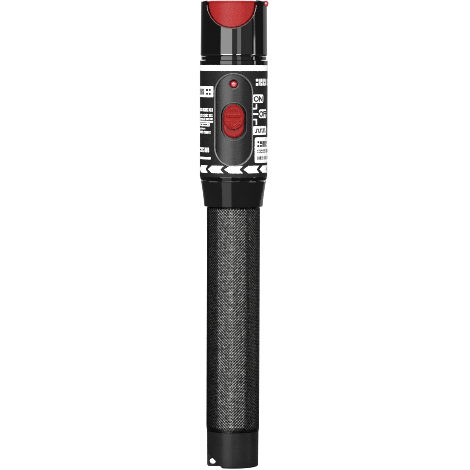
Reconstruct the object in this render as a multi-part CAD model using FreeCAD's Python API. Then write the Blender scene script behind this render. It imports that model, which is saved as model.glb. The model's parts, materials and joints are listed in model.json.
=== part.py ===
import FreeCAD, Part
import math
import os

# Pen-type visual fault locator, modelled standing on its tail.
# Frame: origin at the centre of the flat tail face, +Z up the pen's axis towards the fibre port,
# -Y out of the side that carries the switch, +X towards the hinge of the flip cap. Millimetres.

os.makedirs("parts", exist_ok=True)
V = FreeCAD.Vector
EX, EY, EZ = V(1, 0, 0), V(0, 1, 0), V(0, 0, 1)

# ------------------------------------------------------------------ driving dimensions
# overall
H_TOTAL = 179.5            # tail face to the rim of the nose cover
R_HEAD = 13.0              # widest radius, over the label and the head's upper lip

# grip tube and tail
R_TAIL_LOW, R_TAIL_TOP = 9.9, 10.0
R_TAIL_EDGE = 0.7          # rounding of the tail's bottom edge
Z_KNURL_0, Z_KNURL_1 = 13.65, 100.2
R_KNURL = 10.2             # mean radius of the knurled length
Z_BORE_0 = 8.0             # floor of the battery bore
R_BORE = 7.4
Z_NECK_1 = 109.5           # end of the neck that screws into the head
R_NECK, Z_NECK_STEP = 9.6, 104.4
R_THREAD, THREAD_PITCH, THREAD_DEPTH = 9.0, 1.0, 0.3
Z_ORING, R_ORING_GROOVE, W_ORING_GROOVE = 102.2, 8.6, 1.8
R_ORING_SECTION = 0.56

# lanyard tab in the tail
TAB_THICK = 3.0
TAB_CUT_X, TAB_CUT_SLOPE = -3.9, 0.967
LANYARD_R, LANYARD_X, LANYARD_Z = 1.15, -7.7, 1.85

# cells, spring, contacts
CELL_R, CELL_LEN, CELL_NUB_R, CELL_NUB_H = 7.15, 50.5, 2.65, 1.5
Z_CELL_0 = 13.7
SPRING_R, SPRING_WIRE, SPRING_PITCH = 4.6, 0.33, 1.5

# threaded collar (the cone between grip and head)
Z_COLLAR_0, Z_COLLAR_1 = 100.45, 110.5
COLLAR_CONE = [(11.0, 100.45), (11.3, 100.75), (11.52, 103.2), (11.85, 105.9), (12.2, 108.2), (12.5, 110.1), (12.3, 110.5)]
R_COLLAR_SPIGOT, Z_COLLAR_TOP = 10.78, 114.6
R_COLLAR_SEAL, R_COLLAR_THREAD, R_COLLAR_PASS = 9.75, 9.1, 7.9

# head housing
Z_HEAD_0, Z_LABEL_0, Z_LABEL_1 = 110.7, 112.0, 154.8
R_LABEL_SEAT = 12.85
Z_LIP_1, R_GROOVE, Z_DECK = 156.7, 12.45, 158.0
R_HEAD_BORE, Z_BULKHEAD_0 = 10.8, 153.5
R_SPIGOT, R_SPIGOT_IN, Z_SPIGOT_1 = 10.95, 9.4, 162.5

# recessed switch panel
PANEL_W, PANEL_H, PANEL_Z, R_PANEL = 14.7, 35.5, 133.85, 12.15
SLOT_W, SLOT_H, SLOT_Z, R_SLOT_FLOOR = 9.65, 14.2, 133.25, 11.3
SLOT_CUT_W, SLOT_CUT_H = 8.1, 12.7
LED_Z, LED_HOLE_R, LED_SEAT_R = 147.5, 1.57, 1.95

# switch
KNOB_W, KNOB_H, KNOB_Z = 8.0, 9.6, 135.0
KNOB_Y0, KNOB_Y1 = -12.15, -13.4
BEZEL_W, BEZEL_H, BEZEL_Y, BEZEL_EDGE = 7.9, 12.5, -12.05, 0.9
SWITCH_TRAVEL = 4.0        # three positions 2 mm apart
BOARD_Y0, BOARD_Y1 = -6.4, -5.4

# nose cover and flip cap
R_NOSE_LOW, R_NOSE_TOP, R_NOSE_IN = 12.77, 12.6, 11.0
Z_NOSE_0, NOSE_EDGE, NOSE_EDGE_LOW = 158.1, 0.9, 0.85
SCOOP_R, SCOOP_X, SCOOP_Z = 9.25, -0.9, 177.95
SCOOP_EDGE = 0.3
HINGE_X, HINGE_Z, HINGE_R, PIN_R = 12.15, 178.3, 1.05, 0.4
NOTCH_Y, NOTCH_Z, LUG_Y = 4.75, 177.15, 1.9
CAP_TOP, CAP_PLATE, R_CAP_PLATE, R_CAP_RIM = 179.2, 1.5, 10.75, 12.05
R_LOBE, R_LOBE_IN, LOBE_R = 11.9, 10.3, 8.65
R_BACKING, R_BACKING_IN, BACKING_R = 10.42, 9.9, 9.6

# fibre port and laser module
Z_TIP, R_TIP, R_BARREL, Z_BARREL = 174.0, 3.2, 4.2, 169.5
R_FERRULE = 1.25           # bore for a 2.5 mm ferrule
SLEEVE_R, Z_SLEEVE_0, Z_SLEEVE_1 = 1.6, 161.85, 173.2
R_FLANGE, FLANGE_T = 7.4, 1.6
R_BOSS, Z_BOSS = 3.4, 161.8
SCREW_Y = 5.75


# ------------------------------------------------------------------ helpers
def rev(points):
    """Solid of revolution about Z from a closed (radius, z) outline."""
    pts = [V(r, 0, z) for r, z in points]
    wire = Part.makePolygon(pts + [pts[0]])
    return Part.Face(wire).revolve(V(0, 0, 0), EZ, 360)


def tube(r0, r1, z0, z1):
    return rev([(r0, z0), (r1, z0), (r1, z1), (r0, z1)])


def cyl(r, z0, z1, x=0.0, y=0.0):
    return Part.makeCylinder(r, z1 - z0, V(x, y, z0), EZ)


def ycyl(r, y0, y1, x, z):
    return Part.makeCylinder(r, y1 - y0, V(x, y0, z), EY)


def box(x0, x1, y0, y1, z0, z1):
    return Part.makeBox(x1 - x0, y1 - y0, z1 - z0, V(x0, y0, z0))


def stadium(w, h, z, y0, y1, x=0.0):
    """Upright stadium (straight sides, round ends) extruded along Y."""
    r = w / 2.0
    d = h / 2.0 - r
    s = box(x - r, x + r, y0, y1, z - d, z + d)
    s = s.fuse(ycyl(r, y0, y1, x, z - d)).fuse(ycyl(r, y0, y1, x, z + d))
    return s.removeSplitter()


def ellipse(w, h, z, y0, y1, x=0.0):
    """Upright elliptical prism along Y, from y0 to y1."""
    e = Part.Ellipse(V(x, y0, z + h / 2.0), V(x + w / 2.0, y0, z), V(x, y0, z))
    f = Part.Face(Part.Wire([e.toShape()]))
    return f.extrude(V(0, y1 - y0, 0))


def pipe(points, r):
    """Round wire along a smooth line through the points."""
    c = Part.BSplineCurve()
    c.interpolate([V(*p) for p in points])
    spine = Part.Wire([c.toShape()])
    t = c.tangent(c.FirstParameter)[0]
    ring = Part.Wire([Part.makeCircle(r, V(*points[0]), t)])
    return spine.makePipeShell([ring], True, True)


def try_fillet(shape, r, pick, what):
    """Fillets the edges that pick() names; keeps the sharp edge if the kernel can't."""
    edges = [e for e in shape.Edges if pick(e)]
    if not edges:
        print("no edge for", what)
        return shape
    try:
        out = shape.makeFillet(r, edges)
        if out.isValid() and out.Volume > 0:
            return out
    except Exception as err:
        print("fillet left sharp:", what, err)
    return shape


def out(name, shape):
    solids = shape.Solids
    one = solids[0] if len(solids) == 1 else Part.makeCompound(solids)
    if not one.isValid():
        one.fix(1e-4, 1e-4, 1e-4)
    b = one.BoundBox
    print("%-18s solids %d valid %s vol %9.2f  x %.2f..%.2f y %.2f..%.2f z %.2f..%.2f" % (
        name, len(solids), one.isValid(), one.Volume, b.XMin, b.XMax, b.YMin, b.YMax, b.ZMin, b.ZMax))
    one.exportStep("parts/%s.step" % name)
    return one


# ------------------------------------------------------------------ grip tube with tail and neck
def arc_points(cx, cz, r, a0, a1, n=8):
    return [(cx + r * math.cos(math.radians(a0 + (a1 - a0) * i / n)),
             cz + r * math.sin(math.radians(a0 + (a1 - a0) * i / n))) for i in range(n + 1)]


outline = [(0, 0)]
outline += arc_points(R_TAIL_LOW - R_TAIL_EDGE, R_TAIL_EDGE, R_TAIL_EDGE, -90, 0)
outline += [(R_TAIL_TOP, Z_KNURL_0), (R_KNURL, Z_KNURL_0 + 0.25), (R_KNURL, Z_KNURL_1 - 0.3), (R_KNURL - 0.3, Z_KNURL_1)]
outline += [(R_NECK, Z_KNURL_1), (R_NECK, Z_ORING - W_ORING_GROOVE / 2), (R_ORING_GROOVE, Z_ORING - W_ORING_GROOVE / 2),
            (R_ORING_GROOVE, Z_ORING + W_ORING_GROOVE / 2), (R_NECK, Z_ORING + W_ORING_GROOVE / 2), (R_NECK, Z_NECK_STEP)]
z = Z_NECK_STEP + 0.1
outline.append((R_THREAD - THREAD_DEPTH, Z_NECK_STEP))
while z + THREAD_PITCH <= Z_NECK_1 - 0.05:
    outline += [(R_THREAD - THREAD_DEPTH, z + 0.02), (R_THREAD, z + 0.42), (R_THREAD, z + 0.58), (R_THREAD - THREAD_DEPTH, z + 0.98)]
    z += THREAD_PITCH
outline += [(R_THREAD - THREAD_DEPTH, Z_NECK_1), (R_BORE, Z_NECK_1), (R_BORE, Z_BORE_0 + 0.6), (R_BORE - 0.6, Z_BORE_0), (0, Z_BORE_0)]
grip = rev(outline)
# the tail is cut away at 45 degrees on both sides of a central tab, which carries the lanyard hole
for s in (1, -1):
    far = -12.5
    prism = Part.Face(Part.makePolygon([V(TAB_CUT_X, 0, 0), V(far, 0, (TAB_CUT_X - far) * TAB_CUT_SLOPE), V(far, 0, -1), V(TAB_CUT_X + 1.03, 0, -1), V(TAB_CUT_X, 0, 0)]))
    prism.translate(V(0, s * TAB_THICK / 2, 0))
    grip = grip.cut(prism.extrude(V(0, s * 12, 0)))
grip = grip.cut(ycyl(LANYARD_R, -5, 5, LANYARD_X, LANYARD_Z))
out("grip_tube", grip)

# ------------------------------------------------------------------ O-ring on the neck
out("o_ring", Part.makeTorus(R_ORING_GROOVE + R_ORING_SECTION + 0.01, R_ORING_SECTION, V(0, 0, Z_ORING), EZ))

# ------------------------------------------------------------------ tail spring and cells
turns_h = Z_CELL_0 - Z_BORE_0 - 2 * SPRING_WIRE - 0.06
helix = Part.makeHelix(SPRING_PITCH, turns_h, SPRING_R)
coil = Part.Wire([Part.makeCircle(SPRING_WIRE, V(SPRING_R, 0, 0), EY)])
spring = Part.Wire(helix).makePipeShell([coil], True, True)
spring.translate(V(0, 0, Z_BORE_0 + SPRING_WIRE + 0.03))
out("tail_spring", spring)


def cell(z0):
    top = z0 + CELL_LEN
    can = top - CELL_NUB_H
    return rev([(0, z0), (5.2, z0), (5.4, z0 + 0.25), (CELL_R - 0.5, z0 + 0.25), (CELL_R, z0 + 0.75), (CELL_R, can - 0.6), (CELL_R - 0.6, can),
                (CELL_NUB_R + 0.25, can), (CELL_NUB_R, can + 0.25), (CELL_NUB_R, top - 0.3), (CELL_NUB_R - 0.3, top), (0, top)])


out("battery_rear", cell(Z_CELL_0))
out("battery_front", cell(Z_CELL_0 + CELL_LEN))

# ------------------------------------------------------------------ threaded collar
out("threaded_collar", rev(COLLAR_CONE + [(R_COLLAR_SPIGOT, Z_COLLAR_1), (R_COLLAR_SPIGOT, Z_COLLAR_TOP), (R_COLLAR_PASS, Z_COLLAR_TOP), (R_COLLAR_PASS, 110.0),
                                         (R_COLLAR_THREAD, 110.0), (R_COLLAR_THREAD, 104.6), (R_COLLAR_SEAL, 104.6), (R_COLLAR_SEAL, Z_COLLAR_0 + 0.3), (R_COLLAR_SEAL + 0.3, Z_COLLAR_0)]))

# ------------------------------------------------------------------ head housing
housing = rev([(R_HEAD_BORE, Z_HEAD_0), (12.5, Z_HEAD_0), (12.68, Z_HEAD_0 + 0.2), (12.95, Z_LABEL_0 - 0.2), (12.95, Z_LABEL_0), (R_LABEL_SEAT, Z_LABEL_0), (R_LABEL_SEAT, Z_LABEL_1),
               (R_HEAD - 0.12, Z_LABEL_1), (R_HEAD, Z_LABEL_1 + 0.15), (R_HEAD, Z_LIP_1 - 0.3), (R_HEAD - 0.3, Z_LIP_1), (R_GROOVE, Z_LIP_1), (R_GROOVE, Z_DECK),
               (R_SPIGOT, Z_DECK), (R_SPIGOT, Z_SPIGOT_1 - 0.4), (R_SPIGOT - 0.4, Z_SPIGOT_1), (R_SPIGOT_IN, Z_SPIGOT_1), (R_SPIGOT_IN, Z_DECK),
               (4.1, Z_DECK), (4.1, Z_BULKHEAD_0), (R_HEAD_BORE, Z_BULKHEAD_0)])
# rails that hold the edges of the circuit board
for s in (1, -1):
    rail = box(min(s * 7.4, s * 10.2), max(s * 7.4, s * 10.2), BOARD_Y0 - 1.0, BOARD_Y1 + 1.0, 118.0, Z_BULKHEAD_0 + 0.5).common(cyl(R_HEAD_BORE + 0.6, 117.0, 155.0))
    rail = rail.cut(box(min(s * 7.0, s * 8.3), max(s * 7.0, s * 8.3), BOARD_Y0 - 0.05, BOARD_Y1 + 0.05, 117.0, 152.2))
    housing = housing.fuse(rail)
housing = housing.removeSplitter()
# the switch panel is a shallow recess with a floor that follows the barrel's curve
ring = tube(R_PANEL, R_HEAD + 1.0, PANEL_Z - PANEL_H, PANEL_Z + PANEL_H)
housing = housing.cut(ring.common(stadium(PANEL_W, PANEL_H, PANEL_Z, -15.0, -6.0)))
# a second, deeper recess round the switch, with a narrower cut right through for the bezel
ring = tube(R_SLOT_FLOOR, R_HEAD + 1.0, SLOT_Z - SLOT_H, SLOT_Z + SLOT_H)
housing = housing.cut(ring.common(stadium(SLOT_W, SLOT_H, SLOT_Z, -15.0, -6.0)))
housing = housing.cut(stadium(SLOT_CUT_W, SLOT_CUT_H, SLOT_Z, -15.0, -7.5))
housing = housing.cut(ycyl(LED_HOLE_R, -15.0, -9.0, 0, LED_Z)).cut(ycyl(LED_SEAT_R, -15.0, -11.6, 0, LED_Z))
for s in (1, -1):
    housing = housing.cut(cyl(0.7, 154.0, Z_DECK + 0.1, 0, s * SCREW_Y))
out("head_housing", housing)

# ------------------------------------------------------------------ printed label sleeve
label = tube(R_LABEL_SEAT, R_HEAD, Z_LABEL_0, Z_LABEL_1)
out("label_sleeve", label.cut(stadium(PANEL_W, PANEL_H, PANEL_Z, -15.0, -6.0)))

# ------------------------------------------------------------------ nose cover with finger scoops
edge = arc_points(R_NOSE_TOP - NOSE_EDGE, H_TOTAL - NOSE_EDGE, NOSE_EDGE, 0, 90)
low = arc_points(R_NOSE_LOW - NOSE_EDGE_LOW, Z_NOSE_0 + NOSE_EDGE_LOW, NOSE_EDGE_LOW, -90, 0)
nose = rev(low + edge + [(R_NOSE_IN + 0.25, H_TOTAL), (R_NOSE_IN, H_TOTAL - 0.25), (R_NOSE_IN, Z_NOSE_0)])
scoop = ycyl(SCOOP_R, -15, 15, SCOOP_X, SCOOP_Z).fuse(box(SCOOP_X - SCOOP_R, SCOOP_X + SCOOP_R, -15, 15, SCOOP_Z, H_TOTAL + 2)).removeSplitter()
nose = nose.cut(scoop)


def scoop_edge(e):
    """Outer edge of a scoop: on the outside wall, along the scoop's circle."""
    m = e.valueAt((e.FirstParameter + e.LastParameter) / 2)
    r = math.hypot(m.x, m.y)
    d = math.hypot(m.x - SCOOP_X, m.z - SCOOP_Z)
    return abs(d - SCOOP_R) < 0.02 and r > 12.3 and m.z < SCOOP_Z


nose = try_fillet(nose, SCOOP_EDGE, scoop_edge, "scoop edge")
# notch for the cap's two hinge lugs, with the cover's own lug between them
nose = nose.cut(box(9.5, 15, -NOTCH_Y, NOTCH_Y, NOTCH_Z, H_TOTAL + 2))
lug = ycyl(HINGE_R, -LUG_Y, LUG_Y, HINGE_X, HINGE_Z).fuse(box(11.1, 12.5, -LUG_Y, LUG_Y, 176.0, HINGE_Z)).fuse(box(12.3, 13.0, -LUG_Y, LUG_Y, 177.0, 178.0))
lug = lug.cut(tube(R_NOSE_TOP + 0.02, 16, 170, 177.25))
nose = nose.fuse(lug).removeSplitter()
nose = nose.cut(ycyl(PIN_R, -6, 6, HINGE_X, HINGE_Z))
out("nose_cover", nose)
out("hinge_pin", ycyl(PIN_R, -LUG_Y - 2.7, LUG_Y + 2.7, HINGE_X, HINGE_Z))

# ------------------------------------------------------------------ flip cap
plate = rev([(0, CAP_TOP - CAP_PLATE), (R_CAP_PLATE, CAP_TOP - CAP_PLATE), (R_CAP_PLATE, CAP_TOP - 0.3), (R_CAP_PLATE - 0.3, CAP_TOP), (0, CAP_TOP)])
rim = rev([(0, CAP_TOP - CAP_PLATE), (R_CAP_RIM - 0.15, CAP_TOP - CAP_PLATE), (R_CAP_RIM - 0.15, CAP_TOP - 0.8), (R_CAP_RIM, CAP_TOP - 0.65), (R_CAP_RIM, CAP_TOP - 0.35), (R_CAP_RIM - 0.35, CAP_TOP), (0, CAP_TOP)])
cap = plate.fuse(rim.common(box(SCOOP_X - LOBE_R, SCOOP_X + LOBE_R, -14, 14, 170, 190)))
skirt = rev([(R_LOBE_IN, 160), (R_LOBE, 160), (R_LOBE, CAP_TOP - 1.0), (R_LOBE_IN, CAP_TOP - 1.0)])
lobes = skirt.common(ycyl(LOBE_R, -15, 15, SCOOP_X, SCOOP_Z))
cap = cap.fuse(lobes)
# thin flange behind each lobe, wider than the scoop, that keeps dirt out of the gap
cap = cap.fuse(tube(R_BACKING_IN, R_BACKING, 160.0, CAP_TOP - CAP_PLATE + 0.05).common(ycyl(BACKING_R, -15, 15, SCOOP_X, SCOOP_Z)))
for s in (1, -1):
    y0, y1 = sorted((s * (LUG_Y + 0.15), s * (NOTCH_Y - 0.15)))
    arm = box(9.0, HINGE_X, y0, y1, CAP_TOP - CAP_PLATE, CAP_TOP).fuse(ycyl(HINGE_R, y0, y1, HINGE_X, HINGE_Z))
    cap = cap.fuse(arm)
cap = cap.cut(box(R_CAP_PLATE - 0.35, 15, -LUG_Y - 0.15, LUG_Y + 0.15, 170, 190))
cap = cap.fuse(tube(3.95, 4.9, 176.0, CAP_TOP - CAP_PLATE + 0.2)).removeSplitter()
cap = cap.cut(ycyl(PIN_R + 0.05, -6, 6, HINGE_X, HINGE_Z))
out("dust_cap", cap)
out("cap_seal", rev([(0, Z_TIP + 0.25), (3.4, Z_TIP + 0.25), (3.9, Z_TIP + 0.75), (3.9, CAP_TOP - CAP_PLATE), (0, CAP_TOP - CAP_PLATE)]))

# ------------------------------------------------------------------ fibre port: base, adapter barrel, split sleeve, screws
base = rev([(2.0, 152.0), (2.9, 152.0), (2.9, Z_DECK), (R_FLANGE, Z_DECK), (R_FLANGE, Z_DECK + FLANGE_T - 0.25), (R_FLANGE - 0.25, Z_DECK + FLANGE_T),
            (R_BOSS, Z_DECK + FLANGE_T), (R_BOSS, Z_BOSS - 0.3), (R_BOSS - 0.3, Z_BOSS), (0.8, Z_BOSS), (0.8, Z_DECK), (2.0, Z_DECK)])
for s in (1, -1):
    base = base.cut(cyl(0.8, Z_DECK - 1, Z_DECK + 3, 0, s * SCREW_Y))
out("adapter_base", base)
adapter = rev([(R_BOSS + 0.03, Z_DECK + FLANGE_T + 0.02), (R_BARREL, Z_DECK + FLANGE_T + 0.02),
               (R_BARREL, Z_BARREL - 0.3), (R_BARREL - 0.3, Z_BARREL), (R_TIP, Z_BARREL), (R_TIP, Z_TIP - 0.35), (R_TIP - 0.35, Z_TIP),
               (1.75, Z_TIP), (1.42, Z_SLEEVE_1 + 0.05), (SLEEVE_R + 0.02, Z_SLEEVE_1 + 0.05), (SLEEVE_R + 0.02, Z_BOSS + 0.02), (R_BOSS + 0.03, Z_BOSS + 0.02)])
out("ferrule_adapter", adapter)
sleeve = tube(R_FERRULE, SLEEVE_R, Z_SLEEVE_0, Z_SLEEVE_1).cut(box(0, 3, -0.2, 0.2, 160, 175))
out("ceramic_sleeve", sleeve)
screws = []
for s in (1, -1):
    head = rev([(0, 154.2), (0.7, 154.2), (0.7, Z_DECK + FLANGE_T), (1.25, Z_DECK + FLANGE_T), (1.25, Z_DECK + FLANGE_T + 0.5), (0.9, Z_DECK + FLANGE_T + 0.9), (0, Z_DECK + FLANGE_T + 0.9)])
    head = head.cut(box(-0.16, 0.16, -0.75, 0.75, Z_DECK + FLANGE_T + 0.5, Z_DECK + 4)).cut(box(-0.75, 0.75, -0.16, 0.16, Z_DECK + FLANGE_T + 0.5, Z_DECK + 4))
    head.translate(V(0, s * SCREW_Y, 0))
    screws.append(head)
out("adapter_screws", Part.makeCompound(screws))

# ------------------------------------------------------------------ laser module
out("laser_housing", rev([(2.85, 137.0), (4.0, 137.0), (4.0, 156.5), (2.95, 156.5), (2.95, 151.5), (2.5, 151.5), (2.5, 143.0), (2.2, 142.6), (2.2, 141.9), (2.85, 141.9)]))
diode = rev([(0, 138.2), (2.8, 138.2), (2.8, 139.4), (1.8, 139.4), (1.8, 141.6), (1.6, 141.8), (0, 141.8)])
for a in (90, 210, 330):
    diode = diode.fuse(cyl(0.22, 133.6, 138.3, 1.1 * math.cos(math.radians(a)), 1.1 * math.sin(math.radians(a))))
out("laser_diode", diode.removeSplitter())
lens = rev([(0, 144.9)] + [(2.1 * k / 6.0, 144.9 + 0.75 * (k / 6.0) ** 2) for k in range(1, 7)] + [(2.1 * k / 6.0, 147.1 - 0.75 * (k / 6.0) ** 2) for k in range(6, 0, -1)] + [(0, 147.1)])
out("focusing_lens", lens)
out("lens_ring", rev([(2.12, 144.2), (2.48, 144.2), (2.48, 148.6), (1.7, 148.6), (1.7, 147.3), (2.12, 147.3)]))

# ------------------------------------------------------------------ circuit board and what it carries
board = box(-8.2, 8.2, BOARD_Y0, BOARD_Y1, 118.3, 152.0)
for s in (1, -1):
    for k in range(3):
        board = board.cut(ycyl(0.4, -8, -4, s * 1.5, 129.0 + 4.0 * k))
    board = board.cut(ycyl(0.32, -8, -4, s * 1.27, LED_Z))
out("circuit_board", board)
sw = box(-2.2, 2.2, -10.2, BOARD_Y0, 126.6, 139.4)
sw = sw.cut(box(-0.85, 0.85, -10.5, -9.3, 130.1, 135.9))
for s in (1, -1):
    for k in range(3):
        sw = sw.fuse(ycyl(0.3, BOARD_Y0 - 0.1, BOARD_Y1 + 0.6, s * 1.5, 129.0 + 4.0 * k))
out("slide_switch", sw.removeSplitter())
out("switch_lever", box(-0.7, 0.7, -12.9, -9.4, KNOB_Z - 0.6, KNOB_Z + 0.6))
led = ycyl(1.5, -11.2, -8.2, 0, LED_Z).fuse(Part.makeSphere(1.5, V(0, -11.2, LED_Z))).fuse(ycyl(1.9, -8.2, -7.3, 0, LED_Z))
led = led.removeSplitter()
for s in (1, -1):
    led = led.fuse(ycyl(0.25, -7.4, BOARD_Y1 + 0.5, s * 1.27, LED_Z))
out("indicator_led", led)
CHIP_X = -1.4
chip = box(CHIP_X - 2.0, CHIP_X + 2.0, BOARD_Y1 + 0.15, BOARD_Y1 + 1.65, 121.4, 126.4)
for s in (1, -1):
    for k in range(4):
        x0, x1 = sorted((CHIP_X + s * 1.9, CHIP_X + s * 2.9))
        chip = chip.fuse(box(x0, x1, BOARD_Y1, BOARD_Y1 + 0.45, 121.9 + 1.27 * k - 0.1, 121.9 + 1.27 * k + 0.3))
out("driver_chip", chip.removeSplitter())
cap_can = rev([(0, 0), (2.5, 0), (2.5, 1.3), (2.3, 1.5), (2.5, 1.7), (2.5, 6.2), (2.2, 6.6), (0, 6.6)])
cap_can.rotate(V(0, 0, 0), EX, -90)
cap_can.translate(V(4.55, BOARD_Y1, 124.0))
out("capacitor", cap_can)
res = []
for x, zc, front in ((-4.6, 143.5, True), (4.6, 143.5, True), (-5.6, 128.6, False), (-5.6, 124.2, False)):
    y0 = BOARD_Y0 - 0.55 if front else BOARD_Y1
    res.append(box(x - 0.62, x + 0.62, y0, y0 + 0.55, zc - 1.0, zc + 1.0))
out("resistors", Part.makeCompound(res))

# ------------------------------------------------------------------ switch bezel (fixed) and knob (slides)
bezel = stadium(BEZEL_W, BEZEL_H, SLOT_Z, BEZEL_Y, -10.0)
bezel = try_fillet(bezel, BEZEL_EDGE, lambda e: abs(e.BoundBox.YMin - BEZEL_Y) < 0.01 and abs(e.BoundBox.YMax - BEZEL_Y) < 0.01, "bezel edge")
flange = tube(9.75, R_HEAD_BORE - 0.05, SLOT_Z - 12, SLOT_Z + 12).common(stadium(11.4, 16.2, SLOT_Z, -12.0, -7.0))
bezel = bezel.fuse(flange).removeSplitter()
bezel = bezel.cut(box(-2.3, 2.3, -10.3, -6.0, 126.45, 139.55))
bezel = bezel.cut(box(-0.85, 0.85, -13, -9, 130.1, 135.9))
out("switch_bezel", bezel)
knob = ellipse(KNOB_W, KNOB_H, KNOB_Z, KNOB_Y0, KNOB_Y1)
knob = try_fillet(knob, 0.45, lambda e: abs(e.valueAt(e.FirstParameter).y - KNOB_Y1) < 0.01 and abs(e.valueAt((e.FirstParameter + e.LastParameter) / 2).y - KNOB_Y1) < 0.01, "knob edge")
# shallow thumb ribs across the middle
for zc in (KNOB_Z + 0.35, KNOB_Z + 1.65, KNOB_Z - 0.95):
    knob = knob.cut(box(-2.6, 2.6, KNOB_Y1 - 0.1, KNOB_Y1 + 0.22, zc - 0.28, zc + 0.28))
knob = knob.cut(box(-0.72, 0.72, -12.92, -12.0, KNOB_Z - 0.62, KNOB_Z + 0.62))
out("switch_knob", knob)

# ------------------------------------------------------------------ battery contact and leads
carrier = rev([(5.0, Z_COLLAR_TOP + 0.1), (R_HEAD_BORE - 0.08, Z_COLLAR_TOP + 0.1), (R_HEAD_BORE - 0.08, 117.0), (1.0, 117.0), (1.0, 115.2), (5.0, 115.2)])
carrier = carrier.cut(cyl(0.6, 114.0, 118.0, 9.2, 0))
out("contact_carrier", carrier)
out("positive_contact", rev([(0, 114.75), (4.8, 114.75), (4.8, 115.15), (0.9, 115.15), (0.9, 117.5), (0, 117.5)]))
out("battery_lead", pipe([(0, 0, 117.52), (0, 0, 118.1), (-0.5, -0.4, 119.1), (-2.2, -2.2, 119.8), (-4.9, -3.9, 119.8), (-5.6, -4.8, 119.8), (-5.6, -5.38, 119.8)], 0.42))
out("ground_lead", pipe([(9.2, 0, 114.62), (9.2, 0, 116.2), (9.1, -0.2, 117.6), (8.4, -1.6, 119.4), (6.9, -3.8, 120.0), (6.4, -4.8, 120.0), (6.4, -5.38, 120.0)], 0.42))
leads = []
for s in (1, -1):
    leads.append(pipe([(s * 0.953, -0.55, 133.58), (s * 0.953, -0.55, 133.1), (s * 1.1, -1.0, 132.1), (s * 2.2, -3.0, 131.2), (s * 2.9, -4.6, 131.0), (s * 2.9, -5.38, 131.0)], 0.35))
out("laser_leads", Part.makeCompound(leads))
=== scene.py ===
import bpy, bmesh, math, json
import numpy as np
from mathutils import Vector, Matrix


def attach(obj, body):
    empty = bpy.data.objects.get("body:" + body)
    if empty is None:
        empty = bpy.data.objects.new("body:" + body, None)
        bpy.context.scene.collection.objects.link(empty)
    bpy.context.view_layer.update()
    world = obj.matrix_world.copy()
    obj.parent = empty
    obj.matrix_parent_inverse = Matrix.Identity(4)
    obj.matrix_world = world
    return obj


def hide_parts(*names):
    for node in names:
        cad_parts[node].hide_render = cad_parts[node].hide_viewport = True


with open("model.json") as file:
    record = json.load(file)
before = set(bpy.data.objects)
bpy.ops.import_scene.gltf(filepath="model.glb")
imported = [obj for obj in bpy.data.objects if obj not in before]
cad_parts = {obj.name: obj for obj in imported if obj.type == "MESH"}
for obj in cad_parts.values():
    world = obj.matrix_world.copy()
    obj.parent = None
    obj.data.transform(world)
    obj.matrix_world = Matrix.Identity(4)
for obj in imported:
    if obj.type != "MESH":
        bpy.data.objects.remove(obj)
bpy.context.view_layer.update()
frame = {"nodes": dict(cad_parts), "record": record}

MM = 0.001
nodes = frame["nodes"]
scene = bpy.context.scene


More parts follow.
